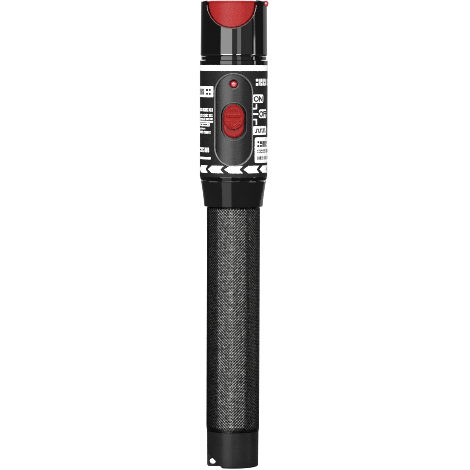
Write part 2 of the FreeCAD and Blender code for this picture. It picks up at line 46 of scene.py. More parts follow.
# =========================================================================== material helpers
class Mat:
    """A Principled material with short calls for its procedural nodes. Lengths in the object's metres."""

    def __init__(self, name, metallic=0.0, ior=1.5, spec=0.5, coat=0.0, coat_rough=0.05, aniso=0.0, sss=0.0, sss_radius=(0.0016, 0.0005, 0.0004)):
        self.m = bpy.data.materials.new(name)
        self.m.use_nodes = True
        self.nt = self.m.node_tree
        self.nt.nodes.clear()
        self.out = self.nt.nodes.new("ShaderNodeOutputMaterial")
        self.b = self.nt.nodes.new("ShaderNodeBsdfPrincipled")
        self.nt.links.new(self.b.outputs[0], self.out.inputs[0])
        self.tc = self.nt.nodes.new("ShaderNodeTexCoord")
        self.sep = None
        s = self.b.inputs
        s["Metallic"].default_value = metallic
        s["IOR"].default_value = ior
        s["Specular IOR Level"].default_value = spec
        if coat:
            s["Coat Weight"].default_value = coat
            s["Coat Roughness"].default_value = coat_rough
        if aniso:
            s["Anisotropic"].default_value = aniso
        if sss:
            s["Subsurface Weight"].default_value = sss
            s["Subsurface Radius"].default_value = sss_radius
            s["Subsurface Scale"].default_value = 1.0

    def put(self, socket, value):
        if isinstance(value, (int, float)):
            socket.default_value = value
        elif isinstance(value, tuple):
            socket.default_value = (*value, 1.0) if len(value) == 3 and len(socket.default_value) == 4 else value
        else:
            self.nt.links.new(value, socket)

    def obj(self, sx=1.0, sy=1.0, sz=1.0):
        if sx == sy == sz == 1.0:
            return self.tc.outputs["Object"]
        n = self.nt.nodes.new("ShaderNodeMapping")
        n.inputs["Scale"].default_value = (sx, sy, sz)
        self.nt.links.new(self.tc.outputs["Object"], n.inputs["Vector"])
        return n.outputs[0]

    def xyz(self):
        if self.sep is None:
            self.sep = self.nt.nodes.new("ShaderNodeSeparateXYZ")
            self.nt.links.new(self.tc.outputs["Object"], self.sep.inputs[0])
        return self.sep.outputs[0], self.sep.outputs[1], self.sep.outputs[2]

    def math(self, op, a, b=None, clamp=False):
        n = self.nt.nodes.new("ShaderNodeMath")
        n.operation = op
        n.use_clamp = clamp
        self.put(n.inputs[0], a)
        if b is not None:
            self.put(n.inputs[1], b)
        return n.outputs[0]

    def radius(self):
        x, y, z = self.xyz()
        return self.math("SQRT", self.math("ADD", self.math("MULTIPLY", x, x), self.math("MULTIPLY", y, y)))

    def noise(self, scale, detail=3.0, rough=0.5, vec=None, distortion=0.0):
        n = self.nt.nodes.new("ShaderNodeTexNoise")
        n.inputs["Scale"].default_value = scale
        n.inputs["Detail"].default_value = detail
        n.inputs["Roughness"].default_value = rough
        n.inputs["Distortion"].default_value = distortion
        self.nt.links.new(vec if vec is not None else self.obj(), n.inputs["Vector"])
        return n.outputs["Fac"]

    def voronoi(self, scale, vec=None, feature="F1"):
        n = self.nt.nodes.new("ShaderNodeTexVoronoi")
        n.feature = feature
        n.inputs["Scale"].default_value = scale
        self.nt.links.new(vec if vec is not None else self.obj(), n.inputs["Vector"])
        return n.outputs["Distance"]

    def wave(self, scale, direction="Z", distortion=0.0, detail=0.0, vec=None):
        n = self.nt.nodes.new("ShaderNodeTexWave")
        n.bands_direction = direction
        n.inputs["Scale"].default_value = scale
        n.inputs["Distortion"].default_value = distortion
        n.inputs["Detail"].default_value = detail
        self.nt.links.new(vec if vec is not None else self.obj(), n.inputs["Vector"])
        return n.outputs["Fac"]

    def remap(self, v, lo, hi, a=0.0, b=1.0):
        n = self.nt.nodes.new("ShaderNodeMapRange")
        n.clamp = True
        self.put(n.inputs["Value"], v)
        n.inputs["From Min"].default_value = lo
        n.inputs["From Max"].default_value = hi
        n.inputs["To Min"].default_value = a
        n.inputs["To Max"].default_value = b
        return n.outputs[0]

    def mixc(self, fac, a, b):
        n = self.nt.nodes.new("ShaderNodeMix")
        n.data_type = "RGBA"
        self.put(n.inputs[0], fac)
        self.put(n.inputs[6], a)
        self.put(n.inputs[7], b)
        return n.outputs[2]

    def mixf(self, fac, a, b):
        n = self.nt.nodes.new("ShaderNodeMix")
        n.data_type = "FLOAT"
        self.put(n.inputs[0], fac)
        self.put(n.inputs[2], a)
        self.put(n.inputs[3], b)
        return n.outputs[0]

    def attr(self, name):
        n = self.nt.nodes.new("ShaderNodeAttribute")
        n.attribute_name = name
        return n.outputs["Fac"]

    def bump(self, height, strength, distance, normal=None):
        n = self.nt.nodes.new("ShaderNodeBump")
        n.inputs["Strength"].default_value = strength
        n.inputs["Distance"].default_value = distance
        self.nt.links.new(height, n.inputs["Height"])
        if normal is not None:
            self.nt.links.new(normal, n.inputs["Normal"])
        return n.outputs[0]

    def done(self, color, rough, normal=None):
        self.put(self.b.inputs["Base Color"], color)
        self.put(self.b.inputs["Roughness"], rough)
        if normal is not None:
            self.nt.links.new(normal, self.b.inputs["Normal"])
        return self.m


def vary(c, k):
    return tuple(min(1.0, max(0.0, v * k)) for v in c)


def moulded(name, color, rough, var=0.1, rough_var=0.03, grain=2500.0, grain_depth=0.00001, grain_strength=0.2, blotch=60.0, **kw):
    """Moulded plastic: faint flow blotches in colour and gloss, and a fine surface grain."""
    g = Mat(name, **kw)
    big = g.noise(blotch, 2.0)
    fine = g.noise(grain, 2.0)
    col = g.mixc(g.remap(big, 0.3, 0.7), vary(color, 1 - var), vary(color, 1 + var))
    r = g.math("ADD", g.remap(big, 0.3, 0.7, rough - rough_var, rough + rough_var), g.remap(fine, 0.3, 0.7, -0.01, 0.01), clamp=True)
    n = g.bump(fine, grain_strength, grain_depth)
    return g.done(col, r, n)


def turned(name, color, rough, lines=9000.0, direction="Z", var=0.12, rough_var=0.06, metallic=1.0, **kw):
    """Turned metal: fine concentric tool lines, slight tarnish."""
    g = Mat(name, metallic=metallic, **kw)
    w = g.wave(lines / 6.2832, direction, 0.4, 1.0)
    big = g.noise(140.0, 3.0)
    fine = g.noise(3000.0, 2.0)
    col = g.mixc(g.math("MULTIPLY", g.remap(big, 0.35, 0.7), 0.8), vary(color, 1.0), vary(color, 1 - var * 2))
    col = g.mixc(g.math("MULTIPLY", w, 0.25), col, vary(color, 1 - var))
    r = g.math("ADD", g.remap(big, 0.3, 0.7, rough - rough_var * 0.5, rough + rough_var), g.math("MULTIPLY", fine, 0.04), clamp=True)
    return g.done(col, r, g.bump(w, 0.25, 0.000006))


# =========================================================================== materials
M = {}

# gloss black moulding; the sunk switch panel has a satin texture, found by its radius and height
def gloss_black(name, spec):
    g = Mat(name, spec=spec)
    x, y, z = g.xyz()
    peel = g.noise(230.0, 2.0)
    fine = g.noise(5200.0, 2.0)
    flow = g.noise(45.0, 2.0, vec=g.obj(1, 1, 0.35))
    scr = g.noise(900.0, 1.0, vec=g.obj(1.0, 1.0, 0.06))
    inner = g.remap(g.radius(), 0.01250, 0.01256, 1.0, 0.0)
    span = g.math("MULTIPLY", g.remap(z, 0.1155, 0.1158), g.remap(z, 0.1519, 0.1523, 1.0, 0.0))
    panel = g.math("MULTIPLY", g.math("MULTIPLY", inner, span), g.remap(y, -0.0095, -0.0090, 1.0, 0.0), clamp=True)
    col = g.mixc(g.remap(flow, 0.35, 0.7), (0.0020, 0.0020, 0.0021), (0.0034, 0.0033, 0.0034))
    col = g.mixc(panel, col, (0.0012, 0.0012, 0.0012))
    rg = g.math("ADD", g.remap(flow, 0.35, 0.7, 0.030, 0.045), g.remap(scr, 0.62, 0.78, 0.0, 0.06), clamp=True)
    rp = g.remap(fine, 0.3, 0.7, 0.31, 0.37)
    rough = g.mixf(panel, rg, rp)
    n0 = g.bump(peel, 0.05, 0.00003)
    n1 = g.bump(g.math("MULTIPLY", fine, panel), 0.35, 0.000012, n0)
    return g.done(col, rough, n1)


M["black_gloss_plastic"] = gloss_black("gloss_black_moulding", 1.0)
M["housing"] = gloss_black("gloss_black_housing", 0.70)

# printed film: matt, slightly warm black with a fine grain
g = Mat("label_film", spec=0.22)
fine = g.noise(5200.0, 2.0)
mid = g.noise(900.0, 3.0)
fib = g.noise(260.0, 2.0, vec=g.obj(1, 1, 2.2))
col = g.mixc(g.remap(mid, 0.3, 0.72), (0.0058, 0.0056, 0.0055), (0.0103, 0.0099, 0.0097))
col = g.mixc(g.remap(fine, 0.55, 0.8), col, (0.016, 0.0150, 0.0147))
M["label_film"] = g.done(col, g.remap(fib, 0.3, 0.7, 0.46, 0.60), g.bump(g.math("ADD", fine, g.math("MULTIPLY", mid, 0.5)), 0.35, 0.00001))

# white and black ink on the film
g = Mat("white_ink", spec=0.3)
fine = g.noise(3800.0, 3.0)
mid = g.noise(350.0, 3.0)
col = g.mixc(g.remap(mid, 0.3, 0.75), (0.86, 0.86, 0.855), (0.80, 0.80, 0.79))
col = g.mixc(g.remap(fine, 0.70, 0.86), col, (0.62, 0.62, 0.61))
M["white_ink"] = g.done(col, g.remap(mid, 0.3, 0.7, 0.42, 0.55), g.bump(fine, 0.25, 0.000008))
g = Mat("black_ink", spec=0.3)
fine = g.noise(3800.0, 3.0)
col = g.mixc(g.remap(fine, 0.35, 0.8), (0.010, 0.010, 0.010), (0.026, 0.025, 0.025))
M["black_ink"] = g.done(col, g.remap(fine, 0.3, 0.7, 0.40, 0.52), g.bump(fine, 0.25, 0.000006))

# black anodised collar: gloss with faint turning lines
g = Mat("black_collar", spec=0.9, ior=1.5)
w = g.wave(1900.0, "Z", 0.6, 1.0)
big = g.noise(80.0, 2.0)
fine = g.noise(4200.0, 2.0)
col = g.mixc(g.remap(big, 0.3, 0.7), (0.0044, 0.0044, 0.0046), (0.0062, 0.0061, 0.0063))
r = g.math("ADD", g.remap(big, 0.3, 0.7, 0.07, 0.10), g.remap(fine, 0.55, 0.8, 0.0, 0.05), clamp=True)
M["black_collar"] = g.done(col, r, g.bump(w, 0.10, 0.000004))

# black anodised grip: oxide over metal, its reflectance painted darker in the grooves of the knurl as painted shade and
# lighter towards its crests as painted highlight, partly standing for rubbing
g = Mat("black_anodised", spec=0.5)
x, y, z = g.xyz()
knurl_shade_sheen_wear = g.attr("knurl_shade_sheen_wear")
big = g.noise(120.0, 3.0)
fine = g.noise(6500.0, 2.0)
grime = g.noise(300.0, 2.0)
w = g.wave(2600.0, "Z", 0.5, 1.0)
knurled = g.remap(z, 0.01360, 0.01375)
plain = g.mixc(g.remap(big, 0.3, 0.7), (0.0062, 0.0062, 0.0061), (0.0090, 0.0089, 0.0088))
# the metal's reflectance follows the vertex value: painted shade in the grooves, painted highlight towards the crests,
# dimmed at random by grime
wall = g.math("MULTIPLY", knurl_shade_sheen_wear, g.remap(grime, 0.30, 0.62, 0.75, 1.0), clamp=True)
steel = g.mixc(wall, (0.015, 0.015, 0.015), (0.150, 0.150, 0.148))
col = g.mixc(knurled, plain, steel)
r = g.math("ADD", g.remap(big, 0.3, 0.7, 0.25, 0.31), g.remap(fine, 0.4, 0.8, 0.0, 0.06), clamp=True)
r = g.mixf(g.math("MULTIPLY", knurled, wall), r, 0.15)
g.put(g.b.inputs["Metallic"], knurled)
M["black_anodised"] = g.done(col, r, g.bump(g.math("ADD", fine, g.math("MULTIPLY", w, 0.5)), 0.12, 0.000005))

# red mouldings
M["red_plastic"] = moulded("red_plastic", (0.250, 0.0070, 0.0070), 0.40, var=0.07, rough_var=0.04, grain=2600.0, grain_depth=0.00001, spec=0.24, sss=0.05)
M["red_switch_plastic"] = moulded("red_switch_plastic", (0.215, 0.0050, 0.0045), 0.34, var=0.06, rough_var=0.04, grain=3000.0, grain_depth=0.000008, spec=0.16, sss=0.08)
M["red_plastic_dark"] = moulded("red_plastic_dark", (0.215, 0.0055, 0.0065), 0.30, var=0.08, rough_var=0.04, grain=3000.0, grain_depth=0.000008, spec=0.3, sss=0.08)

# rubber
M["rubber_black"] = moulded("rubber_black", (0.014, 0.014, 0.014), 0.62, var=0.25, grain=2200.0, grain_strength=0.5, grain_depth=0.00002, spec=0.35)
M["rubber_grey"] = moulded("rubber_grey", (0.115, 0.115, 0.118), 0.66, var=0.12, grain=2200.0, grain_strength=0.5, grain_depth=0.00002, spec=0.35)
M["black_satin_plastic"] = moulded("black_satin_plastic", (0.016, 0.016, 0.0165), 0.40, var=0.2, grain=3200.0, grain_strength=0.4, spec=0.45)

# metals
M["spring_steel"] = turned("spring_steel", (0.56, 0.55, 0.53), 0.24, lines=5200.0, direction="DIAGONAL")
M["steel"] = turned("steel", (0.52, 0.52, 0.53), 0.22, lines=7000.0, direction="Y")
M["nickel"] = turned("nickel", (0.66, 0.62, 0.56), 0.20, lines=8600.0)
M["brass"] = turned("brass", (0.72, 0.50, 0.21), 0.26, lines=7600.0)
M["gold_can"] = turned("gold_can", (0.86, 0.62, 0.24), 0.20, lines=5200.0, direction="Y")
M["switch_can"] = turned("switch_can", (0.58, 0.58, 0.56), 0.30, lines=4200.0, direction="X")

# ceramic sleeve: white zirconia, softly translucent
g = Mat("zirconia", ior=2.1, spec=0.4, coat=0.3, coat_rough=0.05, sss=0.25, sss_radius=(0.0006, 0.0006, 0.0005))
fine = g.noise(4200.0, 2.0)
big = g.noise(500.0, 2.0)
M["zirconia"] = g.done(g.mixc(g.remap(big, 0.3, 0.7), (0.86, 0.86, 0.83), (0.80, 0.795, 0.76)), g.remap(fine, 0.3, 0.7, 0.16, 0.24), g.bump(fine, 0.1, 0.000004))

# lens glass: slightly blue coated glass
g = Mat("lens_glass", ior=1.52, spec=0.5, coat=0.6, coat_rough=0.02)
fine = g.noise(900.0, 2.0)
g.b.inputs["Transmission Weight"].default_value = 0.85
M["lens_glass"] = g.done(g.mixc(g.remap(fine, 0.3, 0.7), (0.80, 0.88, 0.95), (0.72, 0.80, 0.96)), g.remap(fine, 0.3, 0.7, 0.02, 0.05))

# indicator: tinted epoxy with a paler core, partly the chip's cup showing through and partly a painted highlight just
# below the centre, and painted shade towards the rim
g = Mat("led_red", ior=1.52, spec=0.5, coat=1.0, coat_rough=0.03, sss=0.12)
x, y, z = g.xyz()
# centre of the painted highlight, a little below the middle of the dome
dz = g.math("SUBTRACT", z, 0.14725)
dist = g.math("SQRT", g.math("ADD", g.math("MULTIPLY", x, x), g.math("MULTIPLY", dz, dz)))
cup_and_highlight_core = g.remap(dist, 0.00025, 0.00085, 1.0, 0.0)
# painted shade darkening towards the dome's rim
edge = g.remap(dist, 0.0009, 0.0015)
fine = g.noise(2500.0, 2.0)
col = g.mixc(edge, (0.34, 0.010, 0.018), (0.06, 0.002, 0.004))
col = g.mixc(cup_and_highlight_core, col, (0.62, 0.13, 0.16))
col = g.mixc(g.remap(fine, 0.4, 0.8, 0.0, 0.25), col, (0.30, 0.01, 0.02))
M["led_red"] = g.done(col, g.remap(fine, 0.3, 0.7, 0.08, 0.14))

# cells: printed wrap in bands, plated ends, rolled seam
g = Mat("battery_wrap", spec=0.5, ior=1.5)
x, y, z = g.xyz()
local = g.math("MODULO", g.math("SUBTRACT", z, 0.0137), 0.0505)
rad = g.radius()
end = g.math("MAXIMUM", g.remap(local, 0.00070, 0.00085, 1.0, 0.0), g.math("MAXIMUM", g.remap(local, 0.0483, 0.0485), g.remap(rad, 0.0064, 0.0066, 1.0, 0.0)))
band = g.math("MULTIPLY", g.remap(local, 0.0355, 0.0356), g.remap(local, 0.0482, 0.0483, 1.0, 0.0))
thin = g.math("MULTIPLY", g.remap(local, 0.0335, 0.0336), g.remap(local, 0.0345, 0.0346, 1.0, 0.0))
mottle = g.noise(700.0, 3.0)
wrapc = g.mixc(g.remap(mottle, 0.3, 0.7), (0.055, 0.115, 0.215), (0.075, 0.150, 0.270))
wrapc = g.mixc(g.math("MAXIMUM", band, thin), wrapc, (0.62, 0.40, 0.16))
col = g.mixc(end, wrapc, (0.60, 0.585, 0.55))
g.put(g.b.inputs["Metallic"], g.math("MAXIMUM", end, g.math("MULTIPLY", g.math("MAXIMUM", band, thin), 0.7)))
M["battery_wrap"] = g.done(col, g.remap(mottle, 0.3, 0.7, 0.22, 0.32), g.bump(g.noise(2400.0, 2.0), 0.15, 0.000008))

# circuit board: solder mask over copper tracks, tinned pads by the holes, bare edges
g = Mat("board_green", spec=0.5, coat=0.4, coat_rough=0.15)
x, y, z = g.xyz()
t1 = g.wave(210.0, "X", 2.5, 0.0)
t2 = g.wave(170.0, "Z", 3.5, 0.0)
track = g.math("MAXIMUM", g.remap(t1, 0.78, 0.84), g.remap(t2, 0.82, 0.88))
pads = g.voronoi(430.0)
pad = g.remap(pads, 0.16, 0.20, 1.0, 0.0)
weave = g.noise(2600.0, 2.0)
col = g.mixc(g.remap(weave, 0.3, 0.7), (0.010, 0.110, 0.040), (0.014, 0.140, 0.052))
col = g.mixc(track, col, (0.030, 0.230, 0.085))
col = g.mixc(pad, col, (0.62, 0.60, 0.54))
g.put(g.b.inputs["Metallic"], g.math("MULTIPLY", pad, 0.9))
M["board_green"] = g.done(col, g.remap(weave, 0.3, 0.7, 0.26, 0.36), g.bump(g.math("ADD", track, pad), 0.4, 0.00003))

# capacitor: dark blue sleeve with a pale stripe, bare aluminium top
g = Mat("capacitor_sleeve", spec=0.5)
x, y, z = g.xyz()
top = g.remap(y, 0.00085, 0.00095)
stripe = g.remap(x, 0.0064, 0.0065)
mottle = g.noise(900.0, 2.0)
col = g.mixc(g.remap(mottle, 0.3, 0.7), (0.012, 0.020, 0.070), (0.018, 0.030, 0.095))
col = g.mixc(stripe, col, (0.50, 0.52, 0.56))
col = g.mixc(top, col, (0.60, 0.60, 0.60))
g.put(g.b.inputs["Metallic"], top)
M["capacitor_sleeve"] = g.done(col, g.remap(mottle, 0.3, 0.7, 0.26, 0.36), g.bump(mottle, 0.1, 0.00001))

# chip resistors: dark ceramic with tinned ends
g = Mat("chip_ceramic", spec=0.5)
x, y, z = g.xyz()
saw = g.math("ABSOLUTE", g.math("SUBTRACT", g.math("PINGPONG", g.math("SUBTRACT", z, 0.1232), 0.00095), 0.0))
fine = g.noise(2600.0, 2.0)
ends = g.remap(saw, 0.0002, 0.00028, 1.0, 0.0)
col = g.mixc(g.remap(fine, 0.3, 0.7), (0.018, 0.018, 0.022), (0.034, 0.034, 0.040))
col = g.mixc(ends, col, (0.62, 0.62, 0.60))
g.put(g.b.inputs["Metallic"], g.math("MULTIPLY", ends, 0.9))
M["chip_ceramic"] = g.done(col, g.remap(fine, 0.3, 0.7, 0.30, 0.42), g.bump(fine, 0.2, 0.00001))

M["wire_red"] = moulded("wire_red", (0.42, 0.012, 0.014), 0.42, var=0.12, grain=2600.0, grain_strength=0.35, spec=0.45)
M["wire_black"] = moulded("wire_black", (0.016, 0.016, 0.016), 0.42, var=0.2, grain=2600.0, grain_strength=0.35, spec=0.45)

# satin grey of the thin frame round the panel and of the slot's rim; its light grey is a painted highlight along the
# panel's edge
M["frame_highlight_grey"] = moulded("frame_highlight_grey", (0.115, 0.112, 0.112), 0.30, var=0.12, rough_var=0.05, grain=3200.0, grain_strength=0.3, spec=0.6)
M["lip_gloss"] = moulded("lip_gloss", (0.0030, 0.0030, 0.0031), 0.06, spec=1.0)
# lighter band that stands in for the light on the scoop's bevel: painted highlight
M["scoop_highlight"] = moulded("scoop_highlight", (0.12, 0.095, 0.095), 0.15, var=0.12, rough_var=0.04, grain=3200.0, grain_strength=0.1, spec=1.0)
# grey rims of the slot and the indicator: painted highlight along their chamfered edges
M["rim_highlight_grey"] = moulded("rim_highlight_grey", (0.060, 0.056, 0.054), 0.26, var=0.12, rough_var=0.05, grain=3200.0, grain_strength=0.3, spec=0.6)

slot_of = {p["node"]: p["material_slot"] for p in frame["record"]["subparts"]}
for n, o in nodes.items():
    o.data.materials.clear()
    o.data.materials.append(M["housing"] if n == "head_housing" else M[slot_of[n]])

# =========================================================================== mesh helpers
def make_object(name, verts, faces, material, body, flat_from=None, smooth_angle=32.0):
    """Mesh object from vertices in millimetres, smooth shaded up to smooth_angle. flat_from is not used."""
    me = bpy.data.meshes.new(name)
    v = np.asarray(verts, float) * MM
    me.from_pydata(v.tolist(), [], faces)
    me.validate()
    me.update()
    o = bpy.data.objects.new(name, me)
    scene.collection.objects.link(o)
    me.materials.append(material)
    me.shade_smooth()
    me.set_sharp_from_angle(angle=math.radians(smooth_angle))
    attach(o, body)
    return o


def lathe_ring(section, n=180):
    """Closed ring about Z from a closed (radius, z) section, counter-clockwise."""
    verts, faces = [], []
    k = len(section)
    for i in range(n):
        a = 2 * math.pi * i / n
        for r, z in section:
            verts.append((r * math.sin(a), -r * math.cos(a), z))
    for i in range(n):
        j = (i + 1) % n
        for s in range(k):
            t = (s + 1) % k
            faces.append((i * k + s, j * k + s, j * k + t, i * k + t))
    return verts, faces


def path_band(path, section):
    """Closed band along a closed path (x, z, nx, nz). Section points are (offset along the path's outward normal, radius on the barrel)."""
    verts, faces = [], []
    n, k = len(path), len(section)
    for px, pz, nx, nz in path:
        for d, r in section:
            x, z = px + nx * d, pz + nz * d
            verts.append((x, -math.sqrt(r * r - x * x), z))
    for i in range(n):
        j = (i + 1) % n
        for s in range(k):
            t = (s + 1) % k
            faces.append((i * k + s, j * k + s, j * k + t, i * k + t))
    return verts, faces


def stadium_path(w, h, zc, arc=48, side=24):
    r = w / 2.0
    d = h / 2.0 - r
    out = []
    for i in range(arc):
        a = math.pi * i / arc
        out.append((r * math.cos(a), zc + d + r * math.sin(a), math.cos(a), math.sin(a)))
    for i in range(side):
        out.append((-r, zc + d - 2 * d * i / side, -1.0, 0.0))
    for i in range(arc):
        a = math.pi + math.pi * i / arc
        out.append((r * math.cos(a), zc - d + r * math.sin(a), math.cos(a), math.sin(a)))
    for i in range(side):
        out.append((r, zc - d + 2 * d * i / side, 1.0, 0.0))
    return out


def circle_path(r, zc, n=72):
    return [(r * math.cos(2 * math.pi * i / n), zc + r * math.sin(2 * math.pi * i / n), math.cos(2 * math.pi * i / n), math.sin(2 * math.pi * i / n)) for i in range(n)]


def fix_normals(o):
    bm = bmesh.new()
    bm.from_mesh(o.data)
    bmesh.ops.recalc_face_normals(bm, faces=bm.faces[:])
    bm.to_mesh(o.data)
    bm.free()


# =========================================================================== grip: tail, diamond knurl, screwed neck
NCOL = 116                      # half pitches of the knurl round the grip
ROWS = 158                      # half pitches along it
KZ0, KZ1 = 13.65, 100.2
R_PEAK, R_VALLEY = 10.275, 10.186
TOP = 0.34                      # half width of each diamond's flat crest, in half pitches
rng = np.random.default_rng(7)


def grip_mesh():
    verts, faces, knurl_shade_sheen_wear = [], [], []

    # w is the knurl's shade value: low in the grooves as painted shade, high on the crests as painted highlight, varied
    # at random
    def point(p, r, z, w=0.0):
        a = 2 * math.pi * p / NCOL
        verts.append((r * math.sin(a), -r * math.cos(a), z))
        knurl_shade_sheen_wear.append(w)
        return len(verts) - 1

    def zrow(q):
        return KZ0 + (KZ1 - KZ0) * q / ROWS

    # lattice points where the two families of grooves cross
    low = {}
    for q in range(ROWS + 1):
        for p in range(NCOL):
            if q in (0, ROWS):
                low[p, q] = point(p, 10.0, zrow(q), 0.3)
            elif (p + q) % 2 == 1:
                ease = -0.08 if q == 1 else (-0.05 if q == 2 else (-0.02 if q == 3 else 0.0))
                low[p, q] = point(p, R_VALLEY + ease, zrow(q), float(rng.uniform(0.12, 0.62)))
    # one truncated pyramid for each diamond
    for q in range(1, ROWS):
        for p in range(NCOL):
            if (p + q) % 2:
                continue
            rise = {1: 0.30, 2: 0.62, 3: 0.85}.get(q, 1.0)
            h = 10.0 + (R_PEAK - 10.0) * rise + float(rng.uniform(-0.012, 0.0)) * rise
            t = TOP * float(rng.uniform(0.80, 1.20))
            wv = float(rng.uniform(0.12, 1.0))
            z = zrow(q)
            dz = (KZ1 - KZ0) / ROWS * t
            tw, te = point(p - t, h, z, wv), point(p + t, h, z, wv)
            ts, tn = point(p, h, z - dz, wv), point(p, h, z + dz, wv)
            w, e = low[(p - 1) % NCOL, q], low[(p + 1) % NCOL, q]
            s, n = low[p, q - 1], low[p, q + 1]
            faces.append((tw, ts, te, tn))
            faces.append((w, s, ts, tw))
            faces.append((s, e, te, ts))
            faces.append((e, n, tn, te))
            faces.append((n, w, tw, tn))
    for p in range(0, NCOL, 2):
        a, b = (p - 1) % NCOL, (p + 1) % NCOL
        faces += [(low[a, 0], low[p, 0], low[p, 1]), (low[p, 0], low[b, 0], low[p, 1])]
        faces += [(low[p, ROWS - 1], low[p, ROWS], low[a, ROWS]), (low[p, ROWS - 1], low[b, ROWS], low[p, ROWS])]
    knurl_faces = len(faces)

    # neck with the O-ring's groove, the helical thread, the mouth, and the bore down to its floor
    def ring_at(f, z):
        return [point(p, f(p), z if not callable(z) else z(p)) for p in range(NCOL)]

    def bridge(a, b):
        for p in range(NCOL):
            j = (p + 1) % NCOL
            faces.append((a[p], a[j], b[j], b[p]))

    prev = [low[p, ROWS] for p in range(NCOL)]
    for r, z in [(9.6, 100.2), (9.6, 101.22), (9.52, 101.3), (8.6, 101.3), (8.6, 103.1), (9.52, 103.1), (9.6, 103.18), (9.6, 104.32), (9.52, 104.4), (8.7, 104.4), (8.7, 104.55)]:
        cur = ring_at(lambda p, r=r: r, z)
        bridge(prev, cur)
        prev = cur

    def thread(p, z):
        u = (z - p / NCOL) % 1.0
        tri = max(0.0, min(1.0, (0.5 - abs(u - 0.5)) * 2.6 - 0.15))
        fade = min(1.0, (z - 104.6) / 0.7, (109.25 - z) / 0.5)
        return 8.7 + 0.3 * tri * max(0.0, fade)

    z = 104.66
    while z < 109.3:
        cur = ring_at(lambda p, z=z: thread(p, z), z)
        bridge(prev, cur)
        prev = cur
        z += 0.125
    for r, z in [(8.7, 109.38), (8.58, 109.5), (7.55, 109.5), (7.4, 109.35), (7.4, 60.0), (7.4, 8.6), (7.22, 8.18), (6.8, 8.0)]:
        cur = ring_at(lambda p, r=r: r, z)
        bridge(prev, cur)
        prev = cur
    c = point(0, 0.0, 8.0)
    for p in range(NCOL):
        faces.append((prev[p], prev[(p + 1) % NCOL], c))
    return verts, faces, knurl_shade_sheen_wear, knurl_faces


def tail_mesh():
    """The plain tail as a closed solid, cut away on both sides of its lanyard tab and drilled."""
    sec = [(9.2 + 0.7 * math.cos(math.radians(a)), 0.7 + 0.7 * math.sin(math.radians(a))) for a in range(-90, 1, 10)]
    sec += [(9.93, 4.0), (9.97, 9.0), (10.0, KZ0)]
    verts, faces = [], []
    for r, z in sec:
        for p in range(NCOL):
            a = 2 * math.pi * p / NCOL
            verts.append((r * math.sin(a), -r * math.cos(a), z))
    for s in range(len(sec) - 1):
        for p in range(NCOL):
            j = (p + 1) % NCOL
            faces.append((s * NCOL + p, s * NCOL + j, (s + 1) * NCOL + j, (s + 1) * NCOL + p))
    faces.append(tuple(reversed(range(NCOL))))
    last = (len(sec) - 1) * NCOL
    faces.append(tuple(last + p for p in range(NCOL)))

    def temp(name, v, f):
        me = bpy.data.meshes.new(name)
        me.from_pydata((np.asarray(v, float)).tolist(), [], f)
        bm = bmesh.new()
        bm.from_mesh(me)
        bmesh.ops.recalc_face_normals(bm, faces=bm.faces[:])
        bm.to_mesh(me)
        bm.free()
        o = bpy.data.objects.new(name, me)
        scene.collection.objects.link(o)
        return o

    tail = temp("tmp_tail", verts, faces)
    cutters = []
    for s in (1, -1):
        outline = [(-3.9, 0.0), (-12.5, 8.316), (-12.5, -1.0), (-2.87, -1.0)]
        v = [(x, s * 1.5, z) for x, z in outline] + [(x, s * 13.5, z) for x, z in outline]
        f = [(0, 1, 2, 3), (7, 6, 5, 4)] + [(i, (i + 1) % 4, 4 + (i + 1) % 4, 4 + i) for i in range(4)]
        cutters.append(temp("tmp_cut", v, f))
    n = 56
    # lanyard hole with small countersinks on both faces of the tab
    prof = [(-6.0, 1.32), (-1.5, 1.32), (-1.33, 1.15), (1.33, 1.15), (1.5, 1.32), (6.0, 1.32)]
    v = [(-7.7 + r * math.cos(2 * math.pi * i / n), yy, 1.85 + r * math.sin(2 * math.pi * i / n)) for yy, r in prof for i in range(n)]
    f = [tuple(range(n)), tuple(reversed([(len(prof) - 1) * n + i for i in range(n)]))]
    for s in range(len(prof) - 1):
        f += [(s * n + i, s * n + (i + 1) % n, (s + 1) * n + (i + 1) % n, (s + 1) * n + i) for i in range(n)]
    cutters.append(temp("tmp_cut", v, f))
    for cobj in cutters:
        md = tail.modifiers.new("cut", "BOOLEAN")
        md.operation = "DIFFERENCE"
        md.solver = "EXACT"
        md.object = cobj
    dg = bpy.context.evaluated_depsgraph_get()
    me = bpy.data.meshes.new_from_object(tail.evaluated_get(dg))
    for o in [tail] + cutters:
        bpy.data.objects.remove(o)
    v = [tuple(q.co) for q in me.vertices]
    f = [tuple(q.vertices) for q in me.polygons]
    f = [q for q in f if not all(v[i][2] > KZ0 - 1e-4 for i in q)]
    return v, f


gv, gf, gw, n_knurl = grip_mesh()
tv, tf = tail_mesh()
me = bpy.data.meshes.new("grip_body")
off = len(gv)
me.from_pydata((np.asarray(list(gv) + list(tv), float) * MM).tolist(), [], gf + [tuple(i + off for i in q) for q in tf])
